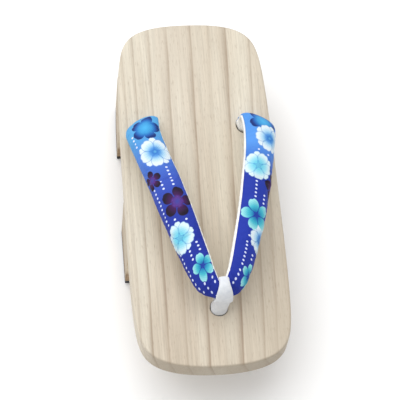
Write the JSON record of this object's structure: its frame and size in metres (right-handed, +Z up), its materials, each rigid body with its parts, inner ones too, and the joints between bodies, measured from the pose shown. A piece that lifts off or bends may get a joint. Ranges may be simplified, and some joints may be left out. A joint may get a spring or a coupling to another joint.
{
  "type": "geta sandal",
  "caption": "Wooden geta for the right foot: an eased plank on block teeth with rubber treads, and a padded floral cloth thong held by a white front loop.",
  "frame": {"origin": "on the floor, under the middle of the deck", "axes": "+Y from the toe to the heel, +Z up, +X towards the big toe's side of the right foot"},
  "size_m": [0.0978, 0.24, 0.0863],
  "materials": {
    "wood": "pale straight-grained paulownia, planed and lightly sanded, unvarnished",
    "tread_rubber": "matt black moulded rubber",
    "printed_cloth": "blue printed cotton with pale flowers and dotted lines, white lining underneath",
    "white_cloth": "soft white brushed cloth"
  },
  "bodies": {
    "root": {"deck": "wood", "front_tooth": "wood", "rear_tooth": "wood", "front_tread": "tread_rubber", "rear_tread": "tread_rubber", "thong": "printed_cloth", "front_loop": "white_cloth"}
  },
  "joints": []
}
